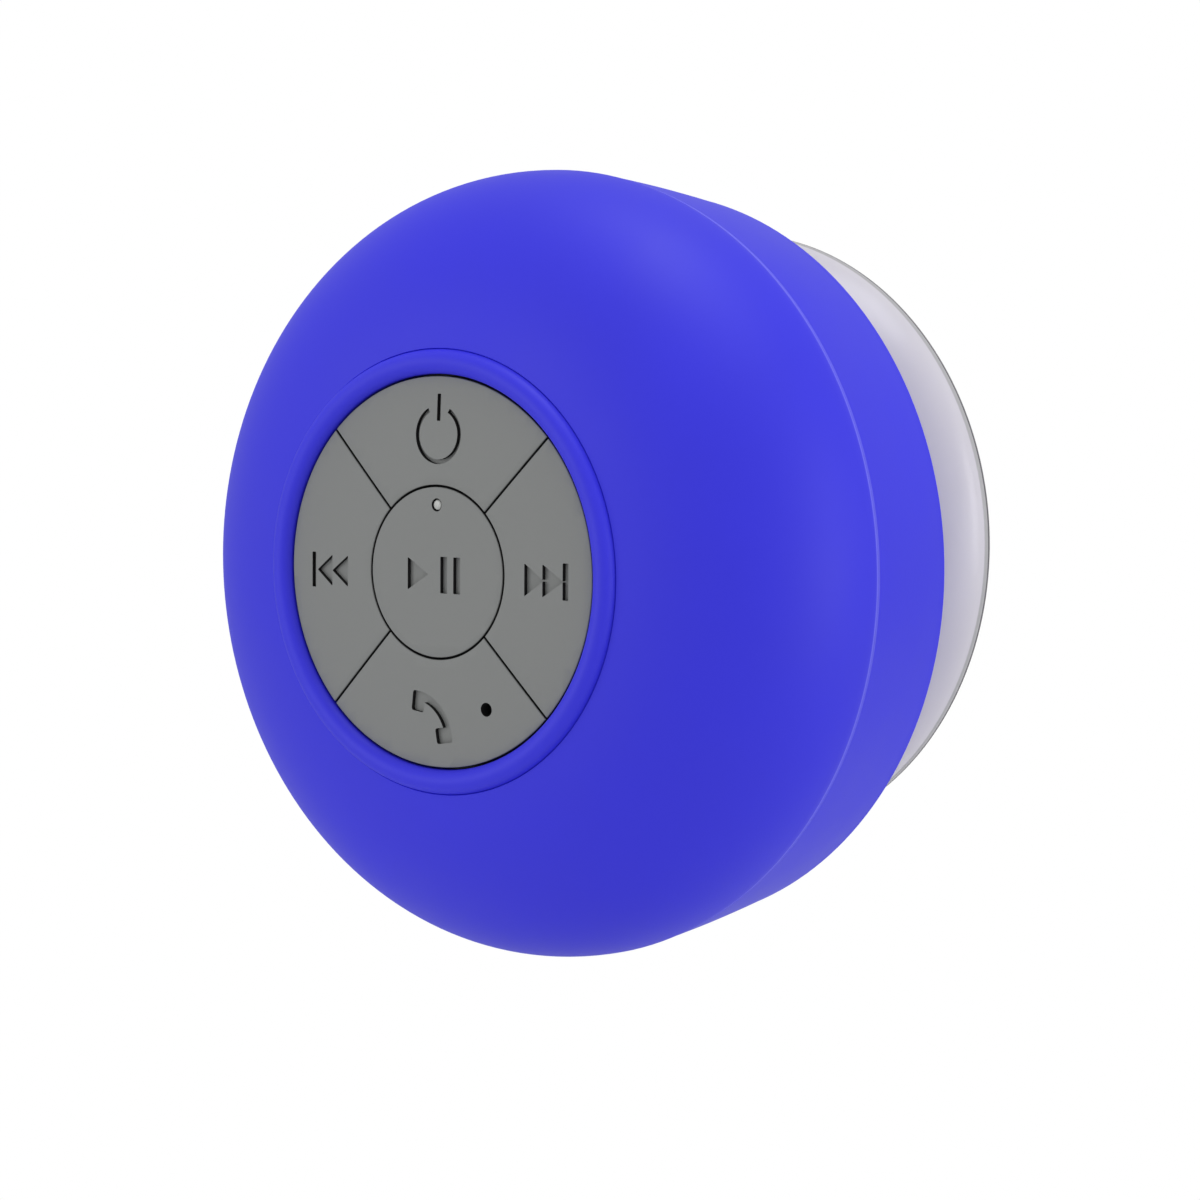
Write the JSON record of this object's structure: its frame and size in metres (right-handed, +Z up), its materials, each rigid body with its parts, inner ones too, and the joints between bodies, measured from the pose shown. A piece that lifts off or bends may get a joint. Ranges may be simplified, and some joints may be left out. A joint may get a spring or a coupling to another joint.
{
  "type": "shower speaker",
  "caption": "Round domed waterproof loudspeaker with a round key panel, turning on a rear suction cup that holds it on a smooth wall.",
  "frame": {"origin": "on the speaker's axis, at the middle of the overall depth", "axes": "+Y towards the wall, along the speaker's axis; +Z up, with the power key at the top; +X to the right as seen from the front"},
  "size_m": [0.086, 0.055, 0.086],
  "materials": {
    "blue_silicone": "soft-touch matte",
    "blue_plastic": "satin moulded",
    "grey_rubber": "soft-touch matte",
    "cup_rubber": "smooth, slightly translucent",
    "dark_rubber": "matte",
    "inner_plastic": "moulded",
    "clear_plastic": "diffusing",
    "steel": "zinc plated",
    "ferrite": "ground",
    "paper": "pressed paper",
    "copper": "enamelled wire",
    "board": "solder mask",
    "chip": "moulded epoxy",
    "foil": "laminated foil",
    "foam": "foam",
    "red_wire": "insulation",
    "black_wire": "insulation",
    "ivory": "moulded"
  },
  "bodies": {
    "wall_cup": {"suction_cup": "cup_rubber", "cup_stud": "ivory", "cup_clip": "steel"},
    "speaker": {"front_cover": "blue_silicone", "front_housing": "inner_plastic", "housing_seal": "dark_rubber", "rear_housing": "blue_plastic", "grille_cloth": "dark_rubber", "flap_anchor": "blue_silicone", "housing_screw_1": "steel", "housing_screw_2": "steel", "housing_screw_3": "steel", "housing_screw_4": "steel", "keypad_membrane": "dark_rubber", "circuit_board": "board", "board_screw_1": "steel", "board_screw_2": "steel", "board_screw_3": "steel", "switch_play": "chip", "switch_power": "chip", "switch_next": "chip", "switch_previous": "chip", "switch_call": "chip", "bluetooth_chip": "chip", "amplifier_chip": "chip", "chip_antenna": "ivory", "microphone": "foil", "microphone_boot": "dark_rubber", "indicator_led": "ivory", "indicator_lens": "clear_plastic", "battery_cell": "foil", "battery_pad": "foam", "battery_lead_red": "red_wire", "battery_lead_black": "black_wire", "speaker_lead_red": "red_wire", "speaker_lead_black": "black_wire", "charge_board": "board", "usb_socket": "steel", "charge_ribbon": "black_wire", "driver_gasket": "foam", "driver_basket": "steel", "driver_surround": "dark_rubber", "driver_spider": "ivory", "front_plate": "steel", "driver_magnet": "ferrite", "driver_yoke": "steel"},
    "play_key": {"key_play": "grey_rubber", "plunger_play": "ivory"},
    "power_key": {"key_power": "grey_rubber", "plunger_power": "ivory"},
    "next_key": {"key_next": "grey_rubber", "plunger_next": "ivory"},
    "previous_key": {"key_previous": "grey_rubber", "plunger_previous": "ivory"},
    "call_key": {"key_call": "grey_rubber", "plunger_call": "ivory"},
    "flap": {"port_flap": "blue_silicone"},
    "cone": {"driver_cone": "paper", "dust_cap": "paper", "voice_coil": "copper"}
  },
  "joints": [
    {"name": "cup_swivel", "type": "hinge", "parent": "wall_cup", "child": "speaker", "pos_m": [0, 0, 0], "axis": [0, 1, 0], "continuous": true},
    {"name": "play_press", "type": "slide", "parent": "speaker", "child": "play_key", "axis": [0, 1, 0], "range_m": [0, 0.0005], "stiffness_N_per_m": 30},
    {"name": "power_press", "type": "slide", "parent": "speaker", "child": "power_key", "axis": [0, 1, 0], "range_m": [0, 0.0005], "stiffness_N_per_m": 30},
    {"name": "next_press", "type": "slide", "parent": "speaker", "child": "next_key", "axis": [0, 1, 0], "range_m": [0, 0.0005], "stiffness_N_per_m": 30},
    {"name": "previous_press", "type": "slide", "parent": "speaker", "child": "previous_key", "axis": [0, 1, 0], "range_m": [0, 0.0005], "stiffness_N_per_m": 30},
    {"name": "call_press", "type": "slide", "parent": "speaker", "child": "call_key", "axis": [0, 1, 0], "range_m": [0, 0.0005], "stiffness_N_per_m": 30},
    {"name": "flap_open", "type": "hinge", "parent": "speaker", "child": "flap", "pos_m": [0.00655, 0.002, -0.04148], "axis": [0, -0.9867, -0.1628], "range_deg": [0, 110]},
    {"name": "cone_travel", "type": "slide", "parent": "speaker", "child": "cone", "axis": [0, 1, 0], "range_m": [-0.0015, 0.0015], "stiffness_N_per_m": 30, "deforming": ["driver_surround", "driver_spider"]}
  ]
}
